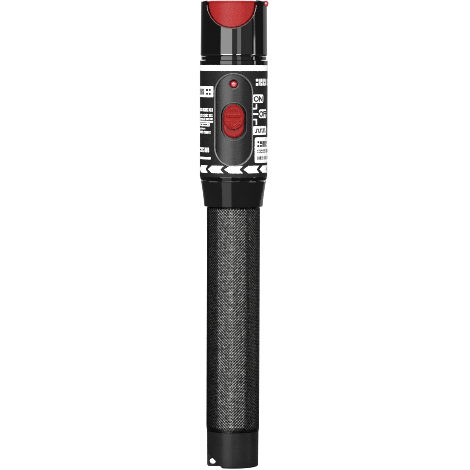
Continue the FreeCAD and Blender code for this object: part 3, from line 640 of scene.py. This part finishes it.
# per-vertex values of the knurl's painted shade and painted highlight
attr = me.attributes.new("knurl_shade_sheen_wear", "FLOAT", "POINT")
attr.data.foreach_set("value", np.asarray(gw + [0.1] * len(tv), np.float32))
lay = me.attributes.new("flat", "INT", "FACE")
lay.data.foreach_set("value", np.asarray([1] * n_knurl + [0] * (len(me.polygons) - n_knurl), np.int32))
bm = bmesh.new()
bm.from_mesh(me)
bmesh.ops.remove_doubles(bm, verts=[v for v in bm.verts if abs(v.co.z - KZ0 * MM) < 2e-6], dist=2e-6)
fl = bm.faces.layers.int["flat"]
for f in bm.faces:
    f.smooth = f[fl] == 0
for e in bm.edges:
    if len(e.link_faces) == 2:
        a, b = e.link_faces
        e.smooth = (a.smooth and b.smooth and e.calc_face_angle(0.0) < math.radians(30))
bm.to_mesh(me)
open_edges = sum(1 for e in bm.edges if len(e.link_faces) != 2)
bm.free()
me.attributes.remove(me.attributes["flat"])
print("grip_body verts", len(me.vertices), "faces", len(me.polygons), "open edges", open_edges)
grip = bpy.data.objects.new("grip_body", me)
scene.collection.objects.link(grip)
me.materials.append(M["black_anodised"])
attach(grip, "grip")
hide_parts("grip_tube")


# =========================================================================== switch knob
def tent(v, half):
    return max(0.0, 1.0 - abs(v) / half)


def soft(v):
    v = max(0.0, min(1.0, v))
    return v * v * (3 - 2 * v)


def knob_height(x, z):
    """Height above the knob's pad, in millimetres, of its raised thumb pattern (x across, z up, from the knob's centre)."""
    h = 0.0
    # zig-zag ridge near the top
    per = 1.86
    tri = abs(((x / per + 0.5) % 1.0) - 0.5) * 2.0            # 0 at the peaks, 1 at the feet
    zz = 3.55 - 1.15 * tri
    if abs(x) < 2.45:
        h = max(h, 0.20 * soft(tent(z - zz, 0.40)) * soft((2.55 - abs(x)) / 0.3))
    if abs(x) < 2.75:
        zz2 = 2.72 - 1.15 * tri
        h = max(h, 0.12 * soft(tent(z - zz2, 0.34)) * soft((2.85 - abs(x)) / 0.3))
    # three straight ribs
    for zc, half, k, amp in ((0.72, 2.75, 0.30, 0.10), (0.0, 2.9, 0.34, 0.22), (-1.40, 2.8, 0.34, 0.15)):
        cut = 1.0
        if zc < -1.0:
            cut = soft((abs(x) - 0.9) / 0.5)
        h = max(h, amp * soft(tent(z - zc, k)) * soft((half - abs(x)) / 0.25) * cut)
    # grooves between them
    for zc in (0.38, -0.52):
        h -= 0.10 * soft(tent(z - zc, 0.26)) * soft((2.95 - abs(x)) / 0.25)
    # open chevron at the foot
    vv = -4.55 + 0.92 * abs(x)
    if abs(x) < 2.45:
        h = max(h, 0.17 * soft(tent(z - vv, 0.42)) * soft((2.5 - abs(x)) / 0.3))
    if abs(x) < 2.2:
        h = max(h, 0.10 * soft(tent(z - vv - 0.95, 0.36)) * soft((2.2 - abs(x)) / 0.3))
    return h


def pad_mesh(ax, az, zc, y_back, top, round_r, nr=72, na=256, ring=(0.86, 0.10)):
    """Closed solid on an elliptical outline: a patterned pad inside a raised rim with a rounded edge."""
    verts, faces = [], []
    verts.append((0.0, -(top(0.0, 0.0)), zc))
    rows = [(i / nr) for i in range(1, nr + 1)]
    for rho in rows:
        for j in range(na):
            a = 2 * math.pi * j / na
            x, z = ax * rho * math.cos(a), az * rho * math.sin(a)
            edge = (1.0 - rho) * min(ax, az)
            drop = 0.0
            if edge < round_r:
                drop = round_r - math.sqrt(max(0.0, round_r ** 2 - (round_r - edge) ** 2))
            verts.append((x, -(top(x, z) - drop), zc + z))
    for j in range(na):
        faces.append((0, 1 + j, 1 + (j + 1) % na))
    for i in range(nr - 1):
        for j in range(na):
            k = (j + 1) % na
            a0, a1 = 1 + i * na, 1 + (i + 1) * na
            faces.append((a0 + j, a1 + j, a1 + k, a0 + k))
    last = 1 + (nr - 1) * na
    base = len(verts)
    for j in range(na):
        a = 2 * math.pi * j / na
        verts.append((ax * math.cos(a), y_back, zc + az * math.sin(a)))
    for j in range(na):
        k = (j + 1) % na
        faces.append((last + j, base + j, base + k, last + k))
    faces.append(tuple(base + j for j in range(na)))
    return verts, faces


def knob_top(x, z):
    rho = math.hypot(x / 4.0, z / 4.8)
    rim = soft(tent(rho - 0.925, 0.085))
    dish = 0.07 * (1.0 - rho * rho)
    inside = soft((0.86 - rho) / 0.05)
    return 13.04 + dish + 0.24 * rim + inside * knob_height(x, z)


kv, kf = pad_mesh(4.0, 4.8, 135.0, -12.15, knob_top, 0.30)
knob = make_object("switch_thumb_pad", kv, kf, M["red_switch_plastic"], "switch_slider", smooth_angle=40)
fix_normals(knob)
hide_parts("switch_knob")

# =========================================================================== thin frame round the panel, rims of the slot and the indicator
# the grey frame and rims below are a painted highlight along the edges of the panel, the slot and the indicator
v, f = path_band(stadium_path(14.7, 35.5, 133.85), [(0.02, 12.1), (-0.46, 12.1), (-0.46, 12.66), (-0.40, 12.76), (-0.12, 13.02), (-0.04, 13.05), (0.06, 13.04), (0.10, 12.98), (0.02, 12.9)])
panel_frame = make_object("panel_frame", v, f, M["frame_highlight_grey"], "head", smooth_angle=50)
fix_normals(panel_frame)
v, f = path_band(stadium_path(9.65, 14.2, 133.25), [(0.08, 11.95), (0.07, 12.16), (0.10, 12.25), (0.19, 12.27), (0.30, 12.22), (0.36, 12.12), (0.36, 11.95)])
slot_rim = make_object("slot_rim", v, f, M["rim_highlight_grey"], "head", smooth_angle=70)
fix_normals(slot_rim)
v, f = path_band(circle_path(1.55, 147.5), [(-0.02, 11.8), (-0.02, 12.18), (0.08, 12.26), (0.42, 12.28), (0.42, 11.8)])
led_well = make_object("led_well", v, f, M["black_satin_plastic"], "head", smooth_angle=70)
fix_normals(led_well)
v, f = path_band(circle_path(1.97, 147.5), [(0.0, 11.8), (0.0, 12.29), (0.05, 12.34), (0.15, 12.33), (0.22, 12.20), (0.22, 11.8)])
led_rim = make_object("led_rim", v, f, M["rim_highlight_grey"], "head", smooth_angle=70)
fix_normals(led_rim)

# rounded lip round the lower edge of the nose cover
lip = [(11.92 + r * math.cos(math.radians(a)), 158.95 + r * math.sin(math.radians(a))) for r, aa in ((0.885, range(-64, 1, 4)), (0.80, range(0, -65, -8))) for a in aa]
v, f = lathe_ring(lip)
nose_lip = make_object("nose_lip", v, f, M["lip_gloss"], "head", smooth_angle=50)
fix_normals(nose_lip)

# bevel along each finger scoop of the nose cover, coloured lighter than the cover as a painted highlight
def scoop_band(sign, n=88):
    verts, faces = [], []
    sec = [(0.02, 12.60), (-0.01, 12.68), (0.06, 12.78), (0.14, 12.86), (0.21, 12.91), (0.24, 12.86), (0.24, 12.60)]
    for i in range(n + 1):
        a = math.pi * (1.012 + 0.976 * i / n)
        for d, r in sec:
            rr = 9.25 + d
            x, zz = -0.9 + rr * math.cos(a), 177.95 + rr * math.sin(a)
            verts.append((x, -sign * math.sqrt(r * r - x * x), zz))
    k = len(sec)
    for i in range(n):
        for s in range(k):
            t = (s + 1) % k
            faces.append((i * k + s, (i + 1) * k + s, (i + 1) * k + t, i * k + t))
    faces.append(tuple(range(k)))
    faces.append(tuple(reversed(range(n * k, n * k + k))))
    return verts, faces


for nm, sg in (("scoop_bevel_front", 1), ("scoop_bevel_back", -1)):
    v, f = scoop_band(sg)
    o = make_object(nm, v, f, M["scoop_highlight"], "head", smooth_angle=60)
    fix_normals(o)


# =========================================================================== printing on the label
R_LABEL = 13.0


def flat_mesh_from_outline(outline):
    """bmesh of one face from a closed outline of (s, z) in millimetres."""
    b = bmesh.new()
    vs = [b.verts.new((s, zz, 0.0)) for s, zz in outline]
    b.faces.new(vs)
    return b


def text_mesh(body, size, s0, z0, stretch=1.0, weight=0.02):
    """Filled text, centred on (s0, z0); size is the height of its capitals in millimetres."""
    c = bpy.data.curves.new("tmp_text", "FONT")
    c.body = body
    c.size = size / 0.729
    c.align_x = "CENTER"
    c.offset = weight
    c.resolution_u = 6
    c.fill_mode = "FRONT"
    o = bpy.data.objects.new("tmp_text", c)
    scene.collection.objects.link(o)
    dg = bpy.context.evaluated_depsgraph_get()
    me = bpy.data.meshes.new_from_object(o.evaluated_get(dg))
    bpy.data.objects.remove(o)
    b = bmesh.new()
    b.from_mesh(me)
    bpy.data.meshes.remove(me)
    bmesh.ops.remove_doubles(b, verts=b.verts[:], dist=1e-5)
    for q in b.verts:
        q.co.x = q.co.x * stretch + s0
        q.co.y = q.co.y + z0 - size / 2.0
        q.co.z = 0.0
    return b


def curved_solid(shapes, r0, r1, step_deg=2.5):
    """Thin closed solids that hug the label: each flat shape is cut into narrow strips, thickened and bent round the barrel."""
    verts, faces = [], []
    ds = math.radians(step_deg) * R_LABEL
    for b in shapes:
        lo = min(q.co.x for q in b.verts)
        hi = max(q.co.x for q in b.verts)
        k = math.ceil(lo / ds)
        while k * ds < hi:
            bmesh.ops.bisect_plane(b, geom=b.verts[:] + b.edges[:] + b.faces[:], dist=1e-5, plane_co=(k * ds, 0, 0), plane_no=(1, 0, 0))
            k += 1
        bmesh.ops.triangulate(b, faces=b.faces[:])
        bmesh.ops.recalc_face_normals(b, faces=b.faces[:])
        b.verts.index_update()
        flip = sum(q.normal.z for q in b.faces) < 0
        start = len(verts)
        n = len(b.verts)
        for r in (r1, r0):
            for q in b.verts:
                a = q.co.x / R_LABEL
                verts.append((r * math.sin(a), -r * math.cos(a), q.co.y))
        for q in b.faces:
            ids = [w.index for w in q.verts]
            if flip:
                ids.reverse()
            faces.append(tuple(start + i for i in ids))
            faces.append(tuple(start + n + i for i in reversed(ids)))
        for e in b.edges:
            if len(e.link_faces) == 1:
                lp = e.link_loops[0]
                i, j = lp.vert.index, lp.link_loop_next.vert.index
                if flip:
                    i, j = j, i
                faces.append((start + j, start + i, start + n + i, start + n + j))
        b.free()
    return verts, faces


def deg(a):
    return math.radians(a) * R_LABEL


def rect(s0, s1, z0, z1):
    return flat_mesh_from_outline([(s0, z0), (s1, z0), (s1, z1), (s0, z1)])


def round_rect(s0, s1, z0, z1, r, n=6):
    pts = []
    for cx, cz, a0 in ((s1 - r, z0 + r, -90), (s1 - r, z1 - r, 0), (s0 + r, z1 - r, 90), (s0 + r, z0 + r, 180)):
        for i in range(n + 1):
            a = math.radians(a0 + 90.0 * i / n)
            pts.append((cx + r * math.cos(a), cz + r * math.sin(a)))
    return flat_mesh_from_outline(pts)


def px(xp):
    """Arc length along the label, in millimetres, of a place given by its sideways offset from the axis in label radii."""
    return math.asin(xp) * R_LABEL


def dashes(s0, s1, z0, z1, seed, unit=None, reverse=False):
    """A row of short blocks of uneven width, grouped like words."""
    r = np.random.default_rng(seed)
    h = z1 - z0
    unit = unit or h * 0.62
    out = []
    s = s0
    left = int(r.integers(4, 8))
    while s < s1 - 0.25 * unit:
        w = unit * float(r.uniform(0.65, 1.15))
        e = min(s + w, s1)
        kind = int(r.integers(0, 4))
        if kind == 0:
            out.append(rect(s, e, z0, z1))
        elif kind == 1:
            m = z0 + h * 0.42
            out.append(rect(s, e, z0, m - 0.09 * h))
            out.append(rect(s, e, m + 0.09 * h, z1))
        elif kind == 2:
            out.append(rect(s, s + (e - s) * 0.40, z0, z1))
            out.append(rect(s + (e - s) * 0.62, e, z0, z1))
        else:
            out.append(rect(s, e, z0 + 0.0 * h, z0 + 0.34 * h))
            out.append(rect(s, e, z0 + 0.62 * h, z1))
        s = e + unit * 0.30
        left -= 1
        if left == 0:
            s += unit * 0.75
            left = int(r.integers(3, 8))
    return out


white, black = [], []
# chevron band: eleven arrowheads that point to the left
zc0, zc1 = 113.6, 116.4
zm = (zc0 + zc1) / 2
for k in range(11):
    t = -15.7 + 360.0 / 11 * (k - 5)
    white.append(flat_mesh_from_outline([(deg(t), zm), (deg(t + 9.2), zc0), (deg(t + 31.6), zc0), (deg(t + 25.4), zm), (deg(t + 31.6), zc1), (deg(t + 9.2), zc1)]))
# right of the panel: heading bar, switch legend, white table
white += dashes(9.15, 24.5, 146.95, 149.55, 5, unit=1.15)
white.append(round_rect(7.66, 13.62, 140.35, 143.55, 0.75))
black.append(text_mesh("ON", 2.1, 10.64, 141.95, 1.12, 0.13))
white.append(flat_mesh_from_outline([(7.86, 137.92), (9.83, 137.92), (9.83, 139.95), (9.16, 139.95), (9.16, 138.50), (7.86, 138.50)]))
white.append(rect(7.98, 10.45, 135.78, 136.45))
white.append(round_rect(10.95, 16.6, 134.55, 137.85, 0.75))
black.append(text_mesh("OFF", 2.05, 13.78, 136.2, 1.15, 0.13))
white.append(flat_mesh_from_outline([(7.98, 134.30), (7.98, 133.78), (9.16, 133.78), (9.16, 131.95), (9.83, 131.95), (9.83, 134.30)]))
white.append(round_rect(7.66, 16.6, 128.15, 131.45, 0.75))
# square-wave sign for the flashing position
sw = 0.46
s, z0, z1 = 8.75, 128.95, 130.60
for k in range(3):
    black.append(rect(s, s + 1.05, z0, z0 + sw))
    black.append(rect(s + 1.05 - sw, s + 1.05, z0 + sw, z1 - sw))
    black.append(rect(s + 1.05 - sw, s + 2.15, z1 - sw, z1))
    black.append(rect(s + 2.15 - sw, s + 2.15, z0, z1 - sw))
    s += 2.15
black.append(rect(s, s + 0.6, z0, z0 + sw))
white.append(round_rect(8.7, 25.5, 117.45, 127.2, 0.85))
black += dashes(10.0, 17.2, 123.55, 125.75, 21, unit=1.2)
black += dashes(10.0, 23.6, 121.25, 122.55, 22, unit=0.72)
black += dashes(10.0, 21.4, 118.65, 119.95, 23, unit=0.72)
# left of the panel
white.append(round_rect(-25.0, -8.35, 142.5, 146.62, 0.35))
black += dashes(-23.6, -9.6, 143.4, 145.7, 31, unit=1.45)
for (xe, ya, yb, seed, unit) in ((-8.28, 137.05, 138.25, 41, 0.56), (-8.75, 134.95, 136.0, 42, 0.52), (-8.6, 133.85, 134.45, 43, 0.42),
                                 (-10.05, 131.35, 132.65, 45, 0.80), (-12.5, 130.15, 130.7, 46, 0.42), (-9.75, 128.6, 129.55, 47, 0.50)):
    white += dashes(-24.2, xe, ya, yb, seed, unit=unit)
white.append(rect(-24.2, -8.4, 132.85, 133.45))
white += dashes(-23.0, -9.6, 121.45, 123.25, 48, unit=0.80)
white.append(rect(-25.0, -9.55, 118.75, 119.6))

v, f = curved_solid(white, 12.985, 13.022)
rv, rf = lathe_ring([(12.985, 152.55), (13.022, 152.55), (13.022, 154.7), (12.985, 154.7)])
off = len(v)
print_white = make_object("label_print_white", list(v) + rv, f + [tuple(i + off for i in q) for q in rf], M["white_ink"], "head", smooth_angle=30)
v, f = curved_solid(black, 13.006, 13.034)
print_black = make_object("label_print_black", v, f, M["black_ink"], "head", smooth_angle=30)
for o in (print_white, print_black):
    b = bmesh.new()
    b.from_mesh(o.data)
    bad = sum(1 for e in b.edges if len(e.link_faces) != 2)
    print(o.name, "faces", len(b.faces), "open edges", bad)
    b.free()

# =========================================================================== stage, lights, camera
me = bpy.data.meshes.new("floor")
s = 6.0
me.from_pydata([(-s, -s, -0.0001), (s, -s, -0.0001), (s, s, -0.0001), (-s, s, -0.0001)], [], [(0, 1, 2, 3)])
floor = bpy.data.objects.new("floor", me)
scene.collection.objects.link(floor)
g = Mat("floor_white", spec=0.0)
g.b.inputs["Emission Color"].default_value = (1, 1, 1, 1)
g.b.inputs["Emission Strength"].default_value = 0.90
me.materials.append(g.done(g.mixc(g.noise(30.0, 2.0), (0.34, 0.34, 0.34), (0.36, 0.36, 0.36)), 0.9))
g.m.cycles.emission_sampling = "NONE"
# the floor is one-sided, so the underside of the object can be looked at from below it
fl = g.m.node_tree
surface = next(n for n in fl.nodes if n.type == "OUTPUT_MATERIAL").inputs["Surface"]
above = surface.links[0].from_socket
side = fl.nodes.new("ShaderNodeMixShader")
fl.links.new(fl.nodes.new("ShaderNodeNewGeometry").outputs["Backfacing"], side.inputs[0])
fl.links.new(above, side.inputs[1])
fl.links.new(fl.nodes.new("ShaderNodeBsdfTransparent").outputs[0], side.inputs[2])
fl.links.new(side.outputs[0], surface)
floor.visible_glossy = False
floor.visible_diffuse = False
floor.visible_shadow = False

world = bpy.data.worlds.new("studio")
scene.world = world
world.use_nodes = True
world.cycles.sampling_method = "NONE"
wn = world.node_tree
wn.nodes.clear()
wo = wn.nodes.new("ShaderNodeOutputWorld")
bg = wn.nodes.new("ShaderNodeBackground")
bg.inputs[0].default_value = (1, 1, 1, 1)
lp = wn.nodes.new("ShaderNodeLightPath")
AMBIENT, GLOSS = 0.56, 0.045
m1 = wn.nodes.new("ShaderNodeMath"); m1.operation = "MULTIPLY_ADD"
wn.links.new(lp.outputs["Is Diffuse Ray"], m1.inputs[0])
m1.inputs[1].default_value = AMBIENT - GLOSS
m1.inputs[2].default_value = GLOSS
m2 = wn.nodes.new("ShaderNodeMath"); m2.operation = "MULTIPLY_ADD"
wn.links.new(lp.outputs["Is Camera Ray"], m2.inputs[0])
m2.inputs[1].default_value = 1.0 - GLOSS
wn.links.new(m1.outputs[0], m2.inputs[2])
wn.links.new(m2.outputs[0], bg.inputs[1])
wn.links.new(bg.outputs[0], wo.inputs[0])


def area(name, az0, az1, z0, z1, radiance, dist=1.6, color=(1, 1, 1)):
    """Upright soft box that spans azimuths az0..az1 (degrees, 0 towards the camera, positive to the camera's right) and heights z0..z1 at a distance."""
    a = math.radians((az0 + az1) / 2)
    half = math.radians(abs(az1 - az0) / 2)
    w = 2 * dist * math.tan(half)
    h = z1 - z0
    d = bpy.data.lights.new(name, "AREA")
    d.shape = "RECTANGLE"
    d.size, d.size_y = w, h
    d.energy = radiance * w * h * 4.0
    d.color = color
    o = bpy.data.objects.new(name, d)
    scene.collection.objects.link(o)
    pos = Vector((dist * math.sin(a), -dist * math.cos(a), (z0 + z1) / 2))
    o.location = pos
    o.rotation_euler = (Vector((0, 0, pos.z)) - pos).to_track_quat("-Z", "Y").to_euler()
    o.visible_camera = False
    return o


def high(name, az, el, dist, w, h, radiance, at=(0, 0, 0.08)):
    """Tilted soft box above or below, aimed at the object."""
    a, e = math.radians(az), math.radians(el)
    d = bpy.data.lights.new(name, "AREA")
    d.shape = "RECTANGLE"
    d.size, d.size_y = w, h
    d.energy = radiance * w * h * 4.0
    o = bpy.data.objects.new(name, d)
    scene.collection.objects.link(o)
    c = Vector(at)
    pos = c + dist * Vector((math.cos(e) * math.sin(a), -math.cos(e) * math.cos(a), math.sin(e)))
    o.location = pos
    o.rotation_euler = (c - pos).to_track_quat("-Z", "Y").to_euler()
    o.visible_camera = False
    return o


area("key_left", -46.3, -6.0, 0.0, 0.55, 2.75)
area("key_low", -44.0, -8.0, -1.2, 0.0, 0.48)
area("gap_mid", -5.0, 10.5, 0.0, 0.5, 0.22)
area("fill_mid", 11.5, 25.3, 0.0, 0.55, 1.25)
area("soft_right", 27.0, 66.0, 0.0, 0.6, 0.16)
area("strip_right", 72.8, 79.6, -0.05, 0.197, 3.4)
area("strip_right_top", 72.8, 79.6, 0.197, 0.9, 0.42)
area("rim_right", 124.0, 174.0, -0.12, 1.2, 0.30)
area("rear", 176.0, 214.0, -0.12, 1.2, 0.10)
high("front_high", -8.5, 31.0, 1.7, 2.15, 1.05, 5.2)
high("side_left", -80.0, 28.0, 1.7, 1.6, 0.9, 0.75)
high("side_right", 70.0, 28.0, 1.7, 1.5, 0.9, 0.95)
high("high_rear", 176.0, 26.0, 1.7, 2.0, 0.9, 2.0)

# low boxes that only pick out the rounded lip of the nose cover
edges = bpy.data.collections.new("edges")
scene.collection.children.link(edges)
edges.objects.link(nose_lip)
for o in (area("edge_left", -46.3, -6.0, -1.7, -0.10, 12.0, dist=1.45), area("edge_mid", 9.0, 25.3, -1.7, -0.10, 9.0, dist=1.45), area("edge_strip", 71.0, 80.4, -1.2, 0.10, 7.0, dist=1.45)):
    o.light_linking.receiver_collection = edges

cam_d = bpy.data.cameras.new("camera")
cam = bpy.data.objects.new("camera", cam_d)
scene.collection.objects.link(cam)
scene.camera = cam
cam_d.sensor_width = 36
cam_d.lens = 239.0
cam_d.clip_start, cam_d.clip_end = 0.05, 50
pos = Vector((0.00064, -1.2, 0.157))
target = Vector((0.00064, 0.0, 0.08937))
q = (target - pos).to_track_quat("-Z", "Y")
cam.rotation_mode = "QUATERNION"
cam.location = pos
roll = Matrix.Rotation(math.radians(0.166), 4, "Z")
cam.rotation_quaternion = (q.to_matrix().to_4x4() @ roll).to_quaternion()

scene.cycles.use_denoising = False
scene.cycles.filter_width = 0.95
scene.view_settings.view_transform = "Standard"
scene.view_settings.look = "None"
scene.view_settings.exposure = 0.0
scene.view_settings.gamma = 1.0
